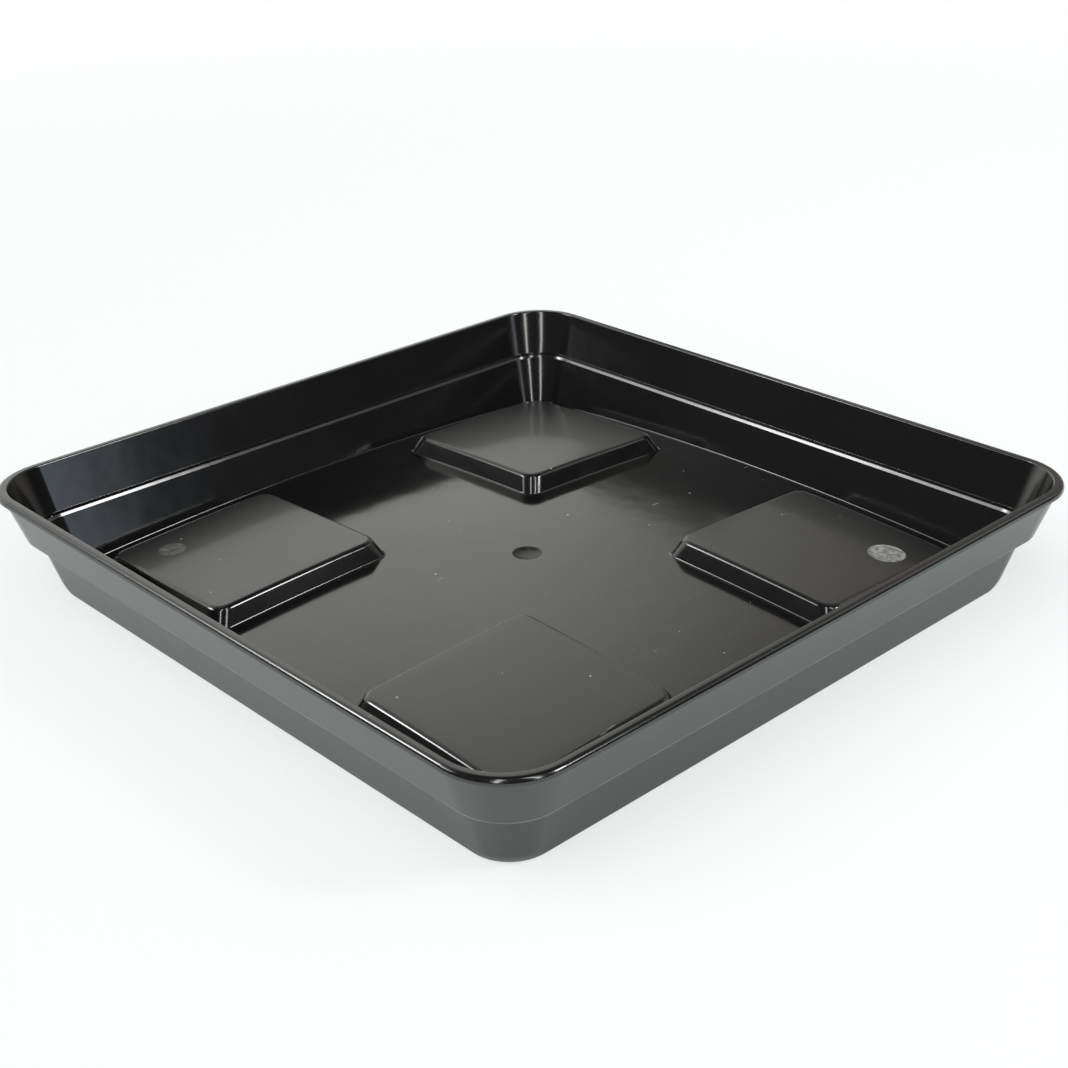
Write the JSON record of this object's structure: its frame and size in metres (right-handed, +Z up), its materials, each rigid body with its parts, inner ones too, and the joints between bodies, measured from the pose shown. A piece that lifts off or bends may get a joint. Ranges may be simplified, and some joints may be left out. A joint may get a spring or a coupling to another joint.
{
  "type": "square plant saucer",
  "caption": "Square black plastic plant saucer with a two-tier flared wall, narrow lip, crowned floor and raised corner pads that hold a pot above the drained water.",
  "frame": {"origin": "middle of the square footprint, on the plane the standing edge rests on", "axes": "+Z up out of the open tray; X and Y along the sides. In the picture -X and -Y are the two near walls, and the corner between them is the near corner"},
  "size_m": [0.4, 0.4, 0.0588],
  "materials": {
    "black_plastic": "satin gloss, injection moulded"
  },
  "bodies": {
    "root": {"saucer": "black_plastic"}
  },
  "joints": []
}
